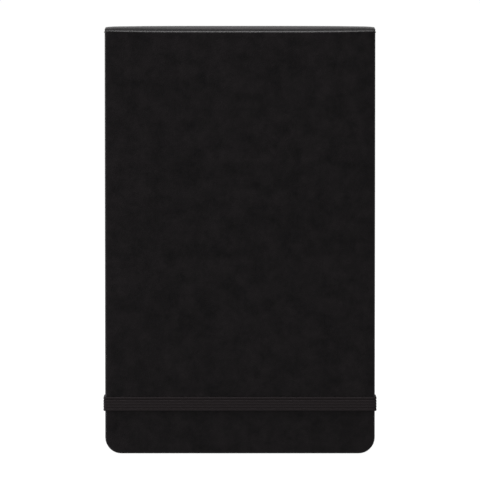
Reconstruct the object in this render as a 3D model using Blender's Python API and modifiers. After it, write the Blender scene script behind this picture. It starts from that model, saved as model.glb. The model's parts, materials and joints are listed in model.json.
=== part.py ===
"""Pocket reporter notebook: hard covers bound at the top edge, elastic closure, back pocket.

The closed book stands upright. X runs across its width, +Y points out of the back cover and
+Z points to the spine. The origin lies under the middle of the book, on its bottom edge.
"""

import math

import bmesh
import bpy
from mathutils import Matrix, Vector

MM = 0.001

# Covers
COVER_WIDTH = 90.0 * MM
COVER_HEIGHT = 142.0 * MM
COVER_CORNER_RADIUS = 5.4 * MM
LEAST_CORNER_RADIUS = 1.0 * MM
CLOTH = 0.3 * MM
CLOTH_EDGE_BEVEL = 0.2 * MM
BOARD = 1.3 * MM
BOARD_SETBACK = 0.9 * MM
TURN_IN = 0.2 * MM
TURN_IN_WIDTH = 12.0 * MM
PASTEDOWN = 0.15 * MM
PASTEDOWN_INSET = 1.5 * MM
PASTEDOWN_SETBACK = 1.3 * MM
GLUE_GAP = 0.05 * MM

# Page block
SIGNATURE_COUNT = 12
SIGNATURE = 0.6 * MM
FLYLEAF = 0.15 * MM
SHEET_GAP = 0.08 * MM
PAGE_INSET = 1.75 * MM
PAGE_BOTTOM = 2.0 * MM
PAGE_CORNER_RADIUS = 4.5 * MM

# Spine
SPINE_CARD = 0.3 * MM
SPINE_CARD_CLEARANCE = 0.2 * MM
LINING = 0.15 * MM
THREAD_RADIUS = 0.12 * MM
THREAD_INSET = 9.0 * MM
SPLIT_GAP = 0.06 * MM

# Pocket inside the back cover
POCKET_PANEL = 0.25 * MM
POCKET_BOTTOM = 2.5 * MM
POCKET_TOP = 98.0 * MM
POCKET_INSET = 2.0 * MM
GUSSET = 0.2 * MM
GUSSET_WIDTH = 6.5 * MM
GUSSET_INSET = 2.5 * MM
GUSSET_END_GAP = 1.5 * MM

# Elastic closure
ELASTIC_WIDTH = 4.7 * MM
ELASTIC = 0.55 * MM
ELASTIC_HEIGHT = 16.7 * MM
ELASTIC_DROP = 0.7 * MM
ELASTIC_END_BEVEL = 0.25 * MM
SLIT_X = 38.5 * MM
SLIT_CLEARANCE = 0.1 * MM
TAIL_LENGTH = 14.0 * MM

ARC_STEPS = 7
BEVEL_SEGMENTS = 2
THREAD_SEGMENTS = 2
PIVOT_DISPLAY = 5.0 * MM
CUT_OVERRUN = 1.0 * MM
WELD_DISTANCE = 0.001 * MM
SHARP_ANGLE = math.radians(40)

# Derived stack, from the front face to the back face
COVER = CLOTH + BOARD + TURN_IN + PASTEDOWN + 3 * GLUE_GAP
SIGNATURE_PITCH = SIGNATURE + SHEET_GAP
FLYLEAF_PITCH = FLYLEAF + SHEET_GAP
BLOCK_START = COVER + SHEET_GAP + FLYLEAF_PITCH
BLOCK_END = BLOCK_START + SIGNATURE_COUNT * SIGNATURE_PITCH
PANEL_START = BLOCK_END + FLYLEAF_PITCH
GUSSET_START = PANEL_START + POCKET_PANEL + GLUE_GAP
THICKNESS = GUSSET_START + GUSSET + GLUE_GAP + COVER
FRONT = -THICKNESS / 2
BACK = THICKNESS / 2
SPLIT_Y = FRONT + BLOCK_START + SIGNATURE_COUNT / 2 * SIGNATURE_PITCH - SHEET_GAP / 2

# Derived heights, from the top of the spine downwards
CLOTH_TOP = COVER_HEIGHT - CLOTH - GLUE_GAP
CARD_TOP = CLOTH_TOP
LINING_TOP = CARD_TOP - SPINE_CARD - GLUE_GAP
THREAD_TOP = LINING_TOP - LINING - GLUE_GAP
PAGE_TOP = THREAD_TOP - 2 * THREAD_RADIUS - GLUE_GAP

# Derived height at which the elastic enters the back cover
SLIT_HEIGHT = ELASTIC_HEIGHT - ELASTIC_DROP

# Derived joint axes, all parallel to X
ELASTIC_AXIS_Y = (ELASTIC + GLUE_GAP) / 2
FLYLEAF_AXIS_Y = FRONT + COVER + FLYLEAF_PITCH + SHEET_GAP / 2
POCKET_AXIS_Y = FRONT + GUSSET_START - GLUE_GAP / 2

UPRIGHT = (math.pi / 2, 0, 0)

# Finishes: colour and roughness
COVER_FINISH = ((0.012, 0.011, 0.0115), 0.5)
GUSSET_FINISH = ((0.012, 0.011, 0.0115), 0.8)
ELASTIC_FINISH = ((0.016, 0.0135, 0.014), 0.7)
BOARD_FINISH = ((0.30, 0.28, 0.25), 0.9)
PAGE_FINISH = ((0.82, 0.76, 0.63), 0.8)
ENDPAPER_FINISH = ((0.78, 0.72, 0.60), 0.8)
POCKET_FINISH = ((0.74, 0.68, 0.56), 0.8)
THREAD_FINISH = ((0.85, 0.84, 0.80), 0.7)
MULL_FINISH = ((0.72, 0.70, 0.64), 0.9)


def clear_scene():
    """Remove every object that is in the file."""
    for item in list(bpy.data.objects):
        bpy.data.objects.remove(item, do_unlink=True)


def make_collection(name):
    """Collection linked to the scene."""
    collection = bpy.data.collections.new(name)
    bpy.context.scene.collection.children.link(collection)
    return collection


def make_material(name, colour, roughness):
    """Plain non-metallic material."""
    material = bpy.data.materials.new(name)
    material.use_nodes = True
    shader = material.node_tree.nodes["Principled BSDF"]
    shader.inputs["Base Color"].default_value = (*colour, 1)
    shader.inputs["Roughness"].default_value = roughness
    shader.inputs["Metallic"].default_value = 0.0
    return material


def make_pivot(name, location, parent=None):
    """Empty on a joint axis, which carries the pieces that turn about it."""
    pivot = bpy.data.objects.new(name, None)
    pivot.empty_display_size = PIVOT_DISPLAY
    pivot.location = location
    if parent is not None:
        pivot.parent = parent
        pivot.location = Vector(location) - parent.matrix_world.translation
    parts.objects.link(pivot)
    bpy.context.view_layer.update()
    return pivot


def solid_from_curve(name, guide, collection):
    """Mesh object with welded caps that takes the place of a curve object."""
    collection.objects.link(guide)
    bpy.context.view_layer.update()
    evaluated = guide.evaluated_get(bpy.context.evaluated_depsgraph_get())
    mesh = bpy.data.meshes.new_from_object(evaluated)
    mesh.name = name
    work = bmesh.new()
    work.from_mesh(mesh)
    bmesh.ops.remove_doubles(work, verts=work.verts, dist=WELD_DISTANCE)
    bmesh.ops.recalc_face_normals(work, faces=work.faces)
    work.to_mesh(mesh)
    work.free()
    solid = bpy.data.objects.new(name, mesh)
    solid.matrix_world = guide.matrix_world
    bpy.data.objects.remove(guide, do_unlink=True)
    collection.objects.link(solid)
    return solid


def flat_solid(name, outline, thickness, location, rotation, collection):
    """Closed plate from a flat outline, half its thickness to each side of the outline."""
    curve = bpy.data.curves.new(name, "CURVE")
    curve.dimensions = "2D"
    curve.fill_mode = "BOTH"
    curve.extrude = thickness / 2
    spline = curve.splines.new("POLY")
    spline.points.add(len(outline) - 1)
    for point, (across, along) in zip(spline.points, outline):
        point.co = (across, along, 0, 1)
    spline.use_cyclic_u = True
    guide = bpy.data.objects.new(name + "_outline", curve)
    guide.location = location
    guide.rotation_euler = rotation
    return solid_from_curve(name, guide, collection)


def upright_plate(name, outline, start, end, collection):
    """Plate in the plane of the covers that fills the span from y = start to y = end."""
    location = (0, (start + end) / 2, 0)
    return flat_solid(name, outline, abs(end - start), location, UPRIGHT, collection)


def finish(piece, look, pivot=None):
    """Give a piece its own material and hang it on its joint's empty."""
    colour, roughness = look
    piece.data.materials.clear()
    piece.data.materials.append(make_material(piece.name, colour, roughness))
    if pivot is not None:
        piece.parent = pivot
        piece.matrix_parent_inverse = Matrix.Translation(-pivot.matrix_world.translation)


def sheet_outline(inset, bottom, top, radius):
    """Upright sheet with square corners at the spine and round corners at the bottom."""
    half = COVER_WIDTH / 2 - inset
    points = [(half, top), (-half, top)]
    for centre, start in ((radius - half, math.pi), (half - radius, 1.5 * math.pi)):
        for step in range(ARC_STEPS + 1):
            angle = start + 0.5 * math.pi * step / ARC_STEPS
            across = centre + radius * math.cos(angle)
            along = bottom + radius + radius * math.sin(angle)
            points.append((across, along))
    return points


def cover_outline(inset, top):
    """Outline of a cover layer that is set in from the cover's side and bottom edges."""
    return sheet_outline(inset, inset, top, max(COVER_CORNER_RADIUS - inset, LEAST_CORNER_RADIUS))


def page_outline():
    """Outline of every leaf of the page block."""
    return sheet_outline(PAGE_INSET, PAGE_BOTTOM, PAGE_TOP, PAGE_CORNER_RADIUS)


def rectangle(low_across, high_across, low_along, high_along):
    """Four corners, counter-clockwise."""
    return [
        (low_across, low_along),
        (high_across, low_along),
        (high_across, high_along),
        (low_across, high_along),
    ]


def strip_outline(path, thickness):
    """Outline of a band of even thickness around a centre line with mitred corners."""
    half = thickness / 2
    sides = ([], [])
    for index, point in enumerate(path):
        before = (point - path[index - 1]).normalized() if index > 0 else None
        after = (path[index + 1] - point).normalized() if index + 1 < len(path) else None
        before = before or after
        after = after or before
        middle = (before + after).normalized()
        normal = Vector((-middle.y, middle.x))
        reach = half / normal.dot(Vector((-before.y, before.x)))
        sides[0].append(point + normal * reach)
        sides[1].append(point - normal * reach)
    return [tuple(point) for point in sides[0] + sides[1][::-1]]


def cut(target, cutter):
    """Subtract a cutter from a piece."""
    cutter.hide_render = True
    cutter.display_type = "WIRE"
    modifier = target.modifiers.new("cut " + cutter.name, "BOOLEAN")
    modifier.operation = "DIFFERENCE"
    modifier.solver = "EXACT"
    modifier.object = cutter


def round_edges(piece, width):
    """Small rounding on the sharp edges."""
    modifier = piece.modifiers.new("edge round", "BEVEL")
    modifier.width = width
    modifier.segments = BEVEL_SEGMENTS
    modifier.limit_method = "ANGLE"
    modifier.angle_limit = SHARP_ANGLE


def depth_to_y(side, depth):
    """World y of a depth below the outer face of the front (-1) or back (+1) cover."""
    return side * (THICKNESS / 2 - depth)


def cut_elastic_slits(target, side, depth):
    """Two slits through a cover layer, where the elastic's ends pass inwards."""
    half_width = ELASTIC / 2 + SLIT_CLEARANCE
    half_height = ELASTIC_WIDTH / 2 + 2 * SLIT_CLEARANCE
    low, high = SLIT_HEIGHT - half_height, SLIT_HEIGHT + half_height
    for hand, centre in (("left", -SLIT_X), ("right", SLIT_X)):
        outline = rectangle(centre - half_width, centre + half_width, low, high)
        near = depth_to_y(side, -CUT_OVERRUN)
        far = depth_to_y(side, depth)
        cut(target, upright_plate(f"{target.name}_slit_{hand}", outline, near, far, cutters))


def cut_tail_recesses(target, side, floor_depth, open_depth):
    """Two shallow recesses in the board's inner face that hold the elastic's glued tails."""
    half_height = ELASTIC_WIDTH / 2 + 2 * SLIT_CLEARANCE
    low, high = SLIT_HEIGHT - half_height, SLIT_HEIGHT + half_height
    inner = SLIT_X - TAIL_LENGTH - 2 * SLIT_CLEARANCE
    outer = SLIT_X + ELASTIC / 2 + SLIT_CLEARANCE
    for hand, across in (("left", (-outer, -inner)), ("right", (inner, outer))):
        outline = rectangle(*across, low, high)
        near = depth_to_y(side, floor_depth)
        far = depth_to_y(side, open_depth)
        cut(target, upright_plate(f"{target.name}_recess_{hand}", outline, near, far, cutters))


def cover_cloth(name, side):
    """Cloth over the board's face and three edges, turned in around the inner side."""
    inner = CLOTH + BOARD + TURN_IN + 2 * GLUE_GAP
    cloth = upright_plate(
        name, cover_outline(0, CLOTH_TOP), depth_to_y(side, 0), depth_to_y(side, inner), parts
    )
    round_edges(cloth, CLOTH_EDGE_BEVEL)
    open_top = COVER_HEIGHT + CUT_OVERRUN
    board_space = upright_plate(
        name + "_board_space",
        cover_outline(CLOTH + GLUE_GAP, open_top),
        depth_to_y(side, CLOTH),
        depth_to_y(side, CLOTH + BOARD + 2 * GLUE_GAP),
        cutters,
    )
    cut(cloth, board_space)
    window = upright_plate(
        name + "_window",
        cover_outline(TURN_IN_WIDTH, open_top),
        depth_to_y(side, CLOTH + BOARD),
        depth_to_y(side, inner + CUT_OVERRUN),
        cutters,
    )
    cut(cloth, window)
    return cloth


def cover_board(name, side):
    """Stiff board inside the cloth."""
    start = CLOTH + GLUE_GAP
    outline = cover_outline(CLOTH + 2 * GLUE_GAP, COVER_HEIGHT - BOARD_SETBACK)
    near = depth_to_y(side, start)
    far = depth_to_y(side, start + BOARD)
    return upright_plate(name, outline, near, far, parts)


def pastedown(name, side):
    """Endpaper leaf glued over the board and the turned-in cloth."""
    start = COVER - PASTEDOWN
    outline = cover_outline(PASTEDOWN_INSET, COVER_HEIGHT - PASTEDOWN_SETBACK)
    return upright_plate(name, outline, depth_to_y(side, start), depth_to_y(side, COVER), parts)


def build_front_cover(pivot):
    """Front board with its cloth and pastedown."""
    finish(cover_cloth("front_cover_cloth", -1), COVER_FINISH, pivot)
    finish(cover_board("front_board", -1), BOARD_FINISH, pivot)
    finish(pastedown("front_pastedown", -1), ENDPAPER_FINISH, pivot)


def build_back_cover():
    """Back board with its cloth and pastedown, slit for the elastic."""
    cloth = cover_cloth("back_cover_cloth", 1)
    cut_elastic_slits(cloth, 1, CLOTH + GLUE_GAP)
    finish(cloth, COVER_FINISH)
    board = cover_board("back_board", 1)
    board_inner = CLOTH + GLUE_GAP + BOARD
    cut_elastic_slits(board, 1, board_inner + CUT_OVERRUN)
    recess_floor = board_inner - ELASTIC - 2 * SLIT_CLEARANCE
    cut_tail_recesses(board, 1, recess_floor, board_inner + CUT_OVERRUN)
    finish(board, BOARD_FINISH)
    finish(pastedown("back_pastedown", 1), ENDPAPER_FINISH)


def build_sheet(name, start, thickness, look, pivot):
    """One leaf or signature of the page block, at a depth below the front face."""
    piece = upright_plate(name, page_outline(), FRONT + start, FRONT + start + thickness, parts)
    finish(piece, look, pivot)


def build_signatures(front_pivot, rear_pivot):
    """Twelve folded signatures, half of them on each side of the block's middle fold."""
    for index in range(SIGNATURE_COUNT):
        pivot = front_pivot if index < SIGNATURE_COUNT / 2 else rear_pivot
        start = BLOCK_START + index * SIGNATURE_PITCH
        build_sheet(f"signature_{index + 1:02d}", start, SIGNATURE, PAGE_FINISH, pivot)


def spine_strip(name, inset, start, end, top, thickness):
    """Flat strip along the spine between two depths."""
    half = COVER_WIDTH / 2 - inset
    outline = rectangle(-half, half, start, end)
    return flat_solid(name, outline, thickness, (0, 0, top - thickness / 2), (0, 0, 0), parts)


def sewing_thread(name, first, count):
    """One thread laid to and fro along the folds of a group of signatures."""
    half = COVER_WIDTH / 2 - THREAD_INSET
    points = []
    for step in range(count):
        fold = FRONT + BLOCK_START + (first + step) * SIGNATURE_PITCH + SIGNATURE / 2
        way = half if step % 2 == 0 else -half
        points.extend([(-way, fold), (way, fold)])
    curve = bpy.data.curves.new(name, "CURVE")
    curve.dimensions = "3D"
    curve.bevel_depth = THREAD_RADIUS
    curve.bevel_resolution = THREAD_SEGMENTS
    curve.use_fill_caps = True
    spline = curve.splines.new("POLY")
    spline.points.add(len(points) - 1)
    for point, (across, fold) in zip(spline.points, points):
        point.co = (across, fold, 0, 1)
    guide = bpy.data.objects.new(name + "_path", curve)
    guide.location = (0, 0, THREAD_TOP - THREAD_RADIUS)
    thread = solid_from_curve(name, guide, parts)
    thread.data.shade_smooth()
    return thread


def build_spine_half(label, start, end, first, pivot):
    """Cloth, card, lining and thread over one half of the block."""
    card_start = max(start, FRONT + COVER + SPINE_CARD_CLEARANCE)
    card_end = min(end, BACK - COVER - SPINE_CARD_CLEARANCE)
    block_start = max(start, FRONT + BLOCK_START)
    block_end = min(end, FRONT + BLOCK_END)
    cloth = spine_strip(label + "_spine_cloth", 0, start, end, COVER_HEIGHT, CLOTH)
    finish(cloth, COVER_FINISH, pivot)
    card = spine_strip(
        label + "_spine_card", CLOTH, card_start, card_end, CARD_TOP, SPINE_CARD
    )
    finish(card, BOARD_FINISH, pivot)
    lining = spine_strip(
        label + "_spine_lining", PAGE_INSET, block_start, block_end, LINING_TOP, LINING
    )
    finish(lining, MULL_FINISH, pivot)
    thread = sewing_thread(label + "_sewing_thread", first, SIGNATURE_COUNT // 2)
    finish(thread, THREAD_FINISH, pivot)


def build_pocket(pivot):
    """Panel that hinges at its bottom fold, and the two gussets behind its side edges."""
    outline = sheet_outline(POCKET_INSET, POCKET_BOTTOM, POCKET_TOP, PAGE_CORNER_RADIUS)
    start = FRONT + PANEL_START
    panel = upright_plate("pocket_panel", outline, start, start + POCKET_PANEL, parts)
    finish(panel, POCKET_FINISH, pivot)
    outer = COVER_WIDTH / 2 - GUSSET_INSET
    low = POCKET_BOTTOM + PAGE_CORNER_RADIUS
    high = POCKET_TOP - GUSSET_END_GAP
    start = FRONT + GUSSET_START
    for hand, edges in (("left", (-outer, GUSSET_WIDTH - outer)),
                        ("right", (outer - GUSSET_WIDTH, outer))):
        outline = rectangle(*edges, low, high)
        gusset = upright_plate(f"pocket_gusset_{hand}", outline, start, start + GUSSET, parts)
        finish(gusset, GUSSET_FINISH)


def slope_towards_back(piece):
    """Lower the elastic evenly from the front cover to the back cover."""
    for vertex in piece.data.vertices:
        share = min(max((vertex.co.y - FRONT) / THICKNESS, 0), 1)
        vertex.co.z -= ELASTIC_DROP * share


def build_elastic(pivot):
    """Band across the front, and the two returns that slope into the back board's slits."""
    outside = COVER_WIDTH / 2 + GLUE_GAP + ELASTIC
    front_outer = FRONT - GLUE_GAP - ELASTIC
    outline = rectangle(-outside, outside, front_outer, front_outer + ELASTIC)
    place = (0, 0, ELASTIC_HEIGHT)
    run = flat_solid("elastic_front_run", outline, ELASTIC_WIDTH, place, (0, 0, 0), parts)
    round_edges(run, ELASTIC_END_BEVEL)
    finish(run, ELASTIC_FINISH, pivot)
    side_x = outside - ELASTIC / 2
    back_y = BACK + GLUE_GAP + ELASTIC / 2
    board_inner = CLOTH + GLUE_GAP + BOARD
    tail_y = BACK - board_inner + SLIT_CLEARANCE + ELASTIC / 2
    path = [
        (side_x, FRONT + GLUE_GAP),
        (side_x, back_y),
        (SLIT_X, back_y),
        (SLIT_X, tail_y),
        (SLIT_X - TAIL_LENGTH, tail_y),
    ]
    for hand, way in (("left", -1), ("right", 1)):
        line = [Vector((way * across, depth)) for across, depth in path]
        outline = strip_outline(line, ELASTIC)
        name = f"elastic_return_{hand}"
        piece = flat_solid(name, outline, ELASTIC_WIDTH, place, (0, 0, 0), parts)
        slope_towards_back(piece)
        finish(piece, ELASTIC_FINISH)


def build_notebook():
    """Place the joint empties, then every piece."""
    rear_pivot = make_pivot("pivot_rear_leaves", (0, BACK, COVER_HEIGHT))
    front_pivot = make_pivot("pivot_front_leaves", (0, SPLIT_Y, COVER_HEIGHT), rear_pivot)
    cover_pivot = make_pivot("pivot_front_cover", (0, FRONT, COVER_HEIGHT), front_pivot)
    flyleaf_pivot = make_pivot("pivot_flyleaf", (0, FLYLEAF_AXIS_Y, PAGE_TOP), front_pivot)
    pocket_pivot = make_pivot("pivot_pocket", (0, POCKET_AXIS_Y, POCKET_BOTTOM))
    elastic_pivot = make_pivot("pivot_elastic", (0, ELASTIC_AXIS_Y, ELASTIC_HEIGHT))

    build_front_cover(cover_pivot)
    build_back_cover()
    flyleaf_start = COVER + SHEET_GAP
    build_sheet("front_flyleaf", flyleaf_start, FLYLEAF, ENDPAPER_FINISH, flyleaf_pivot)
    build_signatures(front_pivot, rear_pivot)
    build_sheet("back_flyleaf", BLOCK_END, FLYLEAF, ENDPAPER_FINISH, rear_pivot)
    half = SIGNATURE_COUNT // 2
    build_spine_half("front", FRONT, SPLIT_Y - SPLIT_GAP / 2, 0, front_pivot)
    build_spine_half("rear", SPLIT_Y + SPLIT_GAP / 2, BACK, half, rear_pivot)
    build_pocket(pocket_pivot)
    build_elastic(elastic_pivot)


clear_scene()
parts = make_collection("pocket_notebook")
cutters = make_collection("cutters")
build_notebook()
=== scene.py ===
"""Looks of the pocket notebook: cloth skins, leaves, ribbed elastic, papers, studio and camera."""

import json
import math
import random

import bmesh
import bpy
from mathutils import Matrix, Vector


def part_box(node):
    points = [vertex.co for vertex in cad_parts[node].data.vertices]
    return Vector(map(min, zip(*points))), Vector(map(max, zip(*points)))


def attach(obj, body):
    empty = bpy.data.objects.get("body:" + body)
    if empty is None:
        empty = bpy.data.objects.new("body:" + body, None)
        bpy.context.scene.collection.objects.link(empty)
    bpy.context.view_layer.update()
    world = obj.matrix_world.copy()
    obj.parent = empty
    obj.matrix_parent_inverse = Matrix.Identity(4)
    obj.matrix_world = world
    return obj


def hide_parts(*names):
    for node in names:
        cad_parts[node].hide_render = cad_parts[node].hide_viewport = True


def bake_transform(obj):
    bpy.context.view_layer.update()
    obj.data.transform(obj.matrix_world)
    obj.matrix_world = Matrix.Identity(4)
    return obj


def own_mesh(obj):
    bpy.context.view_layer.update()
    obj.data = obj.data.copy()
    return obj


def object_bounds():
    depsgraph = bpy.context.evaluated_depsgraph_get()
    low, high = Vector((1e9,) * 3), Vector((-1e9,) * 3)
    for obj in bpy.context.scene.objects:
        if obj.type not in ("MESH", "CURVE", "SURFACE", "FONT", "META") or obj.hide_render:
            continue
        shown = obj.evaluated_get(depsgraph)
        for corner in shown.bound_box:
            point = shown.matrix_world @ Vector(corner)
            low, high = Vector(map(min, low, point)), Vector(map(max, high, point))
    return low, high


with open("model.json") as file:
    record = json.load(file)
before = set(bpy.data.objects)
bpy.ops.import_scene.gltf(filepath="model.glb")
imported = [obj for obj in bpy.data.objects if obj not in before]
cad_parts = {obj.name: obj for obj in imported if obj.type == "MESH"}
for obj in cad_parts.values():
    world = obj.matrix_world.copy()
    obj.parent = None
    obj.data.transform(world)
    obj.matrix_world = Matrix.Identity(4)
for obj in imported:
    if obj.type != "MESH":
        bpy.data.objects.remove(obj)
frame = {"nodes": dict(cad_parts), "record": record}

cad_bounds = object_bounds()

MM = 0.001

# Places taken from the frame
COVER_LOW, COVER_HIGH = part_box("front_cover_cloth")
SPINE_LOW, SPINE_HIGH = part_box("front_spine_cloth")
HALF_WIDTH = COVER_HIGH.x
HALF_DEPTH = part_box("back_cover_cloth")[1].y
TOP = SPINE_HIGH.z
TRAY_TOP = COVER_HIGH.z
TRAY_DEPTH = COVER_HIGH.y - COVER_LOW.y
CLOTH = TOP - SPINE_LOW.z
SPLIT = (SPINE_HIGH.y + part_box("rear_spine_cloth")[0].y) / 2

# Cover cloth
CORNER = 5.4 * MM
TURN_IN_WIDTH = 12.0 * MM
OUTER_ROUND = 0.5 * MM
EDGE_FALL = 0.12 * MM
INNER_ROUND = 0.35 * MM
JOINT_LINE = TOP - 2.2 * MM
SEAM = 4.0 * MM
SPINE_END_RADIUS = 0.5 * MM
SPINE_MIDDLE_RADIUS = 0.85 * MM
SPINE_END_CROWN = 0.55 * MM
SPINE_MIDDLE_CROWN = 1.2 * MM
SPINE_END_FLATNESS = 8.0
SPINE_MIDDLE_FLATNESS = 2.0
EDGE_END_SINK = 0.4 * MM
EDGE_MIDDLE_SINK = 0.6 * MM
GROOVE_PLACE = HALF_DEPTH - 1.55 * MM
GROOVE_WIDTH = 0.4 * MM
GROOVE_END_DEPTH = 0.4 * MM
GROOVE_MIDDLE_DEPTH = 0.2 * MM
# Painted shade: width, and strength at the spine's ends, of the dark colour painted into the grooves.
GROOVE_SHADE_WIDTH = 0.95 * MM
RIDGE_GROOVE_SHADE_WIDTH = GROOVE_WIDTH / 4
END_GROOVE_SHADE = 0.6
# Worn look and painted highlight: how much lighter and shinier the spine's top panel is.
PANEL_WEAR_AND_HIGHLIGHT = 0.35
SPINE_WRAP = 0.95 * MM
SPINE_TURN_IN = 1.2 * MM
EDGE_SLOPE = ((3.4 * MM, 0.004 * MM), (1.9 * MM, 0.03 * MM), (1.1 * MM, 0.075 * MM))
EDGE_START_ANGLE = 0.15
WALL_START = 0.9 * MM
INNER_START_ANGLE = 0.3
TURN_IN_RINGS = (1.4 * MM, 4.0 * MM, TURN_IN_WIDTH)
TRAY_TOUCH = 0.01 * MM
ENDS_POWER = 4
OPENING_ZONE = 1.2 * MM
ARC_STEPS = 8
EDGE_STEPS = 6
INNER_STEPS = 4
TRAY_ROWS = 12
TRAY_COLUMNS = 10
FACE_STEPS = 4
RIDGE_STEPS = 10
PANEL_STEPS = 12
PANEL_SIDE_STEPS = 4
SMOOTH_ANGLE = math.radians(38)
MERGE_DISTANCE = 0.001 * MM
DIAGONAL = math.sqrt(0.5)

# Leaves
LEAVES = 8
LEAF = 0.058 * MM
LEAF_JITTER = 0.07 * MM
PAGE_CORNER = 4.5 * MM
PAPER_FOLD = 0.09 * MM
PAPER_GLUE = 0.02 * MM
GAUZE_REACH = 0.2 * MM
GAUZE_RISE = 0.08 * MM
GUSSET_CLOTH = 0.04 * MM
GUSSET_PLEAT = 0.8
LEAF_ARC_STEPS = 6
FOLD_STEPS = 16
FOLD_COLUMNS = 8
GUSSET_ROWS = 24
SEED = 7

# Elastic
RIBS = 5
RIB_HEIGHT = 0.065 * MM
RIB_SAMPLES = 8
ELASTIC_BEND = 0.35 * MM
ELASTIC_WRAP = 0.75 * MM
EDGE_GROOVE_PLACE = 0.2
EDGE_GROOVE_WIDTH = 0.035
EDGE_GROOVE_DEPTH = 0.14 * MM
EDGE_GROOVES = ((EDGE_GROOVE_PLACE, 0.5), (1 - EDGE_GROOVE_PLACE, 1.0))
EDGE_ROUND = 0.08 * MM
INNER_SHARES = (0.02, 0.5, 0.98)
SLIT_X = 38.5 * MM
SLIT_BEND = 0.3 * MM
SLIT_WIDTH = 0.8 * MM
SLIT_DEPTH = 3.0 * MM
TAIL_DEPTH = 1.2 * MM
BEND_STEPS = 5
SLIT_BEND_STEPS = 4
FRONT_STEPS = 60
SIDE_STEPS = 12
TAIL_STEPS = 6

# Colours and surfaces
LEATHER_DARK = (0.0014, 0.0011, 0.0013)
LEATHER_LIGHT = (0.0066, 0.0053, 0.0058)
# Worn edges with a painted highlight: the lighter colour on rounded edges and the spine's top.
LEATHER_RUBBED_HIGHLIGHT = (0.0150, 0.0136, 0.0145)
# Painted shade: near-black colour painted into the spine's grooves.
LEATHER_GROOVE_SHADE = (0.0010, 0.0008, 0.0009)
PEBBLE_SCALE = 2600.0
PEBBLE_SMOOTHNESS = 0.6
PEBBLE_DEPTH = 0.07 * MM
GRAIN_SCALE = 5200.0
GRAIN_DEPTH = 0.03 * MM
LEATHER_MOTTLE_SCALE = 220.0
CLOTH_SHEEN = 0.02
ELASTIC_DARK = (0.0056, 0.0041, 0.0045)
ELASTIC_LIGHT = (0.0112, 0.0085, 0.0092)
STITCH_SCALE = 900.0
STITCH_DISTORTION = 1.5
STITCH_DETAIL = 2.0
STITCH_DEPTH = 0.04 * MM
FIBRE_SCALE = 7000.0
FIBRE_DEPTH = 0.03 * MM
ELASTIC_ROUGHNESS = 0.75
ELASTIC_SHINE = 0.1
ENDPAPER_LIGHT = (0.68, 0.63, 0.53)
ENDPAPER_DARK = (0.62, 0.57, 0.47)
WRITING_LIGHT = (0.71, 0.67, 0.57)
WRITING_DARK = (0.66, 0.62, 0.52)
PAPER_MOTTLE_SCALE = 260.0
PAPER_FIBRE_SCALE = 5200.0
PAPER_FIBRE_STRETCH = (1, 1, 0.25)
PAPER_GRAIN_DEPTH = 0.02 * MM
PAPER_ROUGHNESS = 0.86
PAPER_SHINE = 0.25
RULING_PITCH = 6.0 * MM
RULING_SHARE = 0.03
RULING_STRENGTH = 0.35
RULING_TONE = (0.32, 0.33, 0.34)
LEAF_FACING = 0.8
BOARD_DARK = (0.17, 0.155, 0.135)
BOARD_LIGHT = (0.40, 0.37, 0.33)
FLECK_SCALE = 1800.0
FLECK_DEPTH = 0.05 * MM
BOARD_ROUGHNESS = 0.92
GAUZE_LIGHT = (0.76, 0.74, 0.68)
GAUZE_DARK = (0.52, 0.50, 0.45)
GAUZE_THREADS = 2200.0
BOOKCLOTH_LIGHT = (0.022, 0.021, 0.021)
BOOKCLOTH_DARK = (0.008, 0.008, 0.008)
BOOKCLOTH_THREADS = 3200.0
WEAVE_DISTORTION = 0.8
WEAVE_DEPTH = 0.05 * MM
WEAVE_ROUGHNESS = 0.9
THREAD_LIGHT = (0.86, 0.84, 0.78)
THREAD_DARK = (0.62, 0.60, 0.54)
TWIST_SCALE = 1400.0
TWIST_DEPTH = 0.03 * MM
THREAD_ROUGHNESS = 0.6

# Camera and studio
CAMERA_ELEVATION = math.radians(5.2)
CAMERA_LENS = 600.0
CAMERA_SENSOR = 36.0
FRAME_HEIGHT = 160.3 * MM
AIM_HEIGHT = 71.0 * MM
CAMERA_REACH = 100.0
FLOOR_SIZE = 60.0
FLOOR_CELLS = 8
FLOOR_GAP = 0.02 * MM
FLOOR_MOTTLE_SCALE = 3.0
FLOOR_TONE = (0.055, 0.055, 0.055)
FLOOR_TONE_LIGHT = (0.060, 0.060, 0.060)
FLOOR_LIGHT = 0.6
FLOOR_SEEN = 0.97
WORLD_FRONT = 0.45
WORLD_BACK = 0.9
# name, place, size and power of each lamp
LAMPS = (
    ("soft_left", (-0.9, -0.35, 0.25), 0.5, 10.0),
    ("soft_top", (0.0, -0.1, 1.1), 0.7, 22.0),
)


def lerp(start, end, share):
    """Value at a share of the way from start to end."""
    return start + (end - start) * share


def spread(start, end, steps):
    """Even values from start to end, both included."""
    return [lerp(start, end, step / steps) for step in range(steps + 1)]


# ---------------------------------------------------------------- mesh helpers


def mesh_object(name, vertices, faces, outward=None):
    """Object from vertices and faces, with doubles merged and normals made consistent."""
    mesh = bpy.data.meshes.new(name)
    mesh.from_pydata([tuple(point) for point in vertices], [], faces)
    work = bmesh.new()
    work.from_mesh(mesh)
    bmesh.ops.remove_doubles(work, verts=work.verts, dist=MERGE_DISTANCE)
    bmesh.ops.recalc_face_normals(work, faces=work.faces)
    if outward is not None:
        total = sum((face.normal * face.calc_area() for face in work.faces), Vector())
        if total.dot(outward) < 0:
            bmesh.ops.reverse_faces(work, faces=work.faces)
    work.to_mesh(mesh)
    work.free()
    piece = bpy.data.objects.new(name, mesh)
    bpy.context.scene.collection.objects.link(piece)
    return piece


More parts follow.
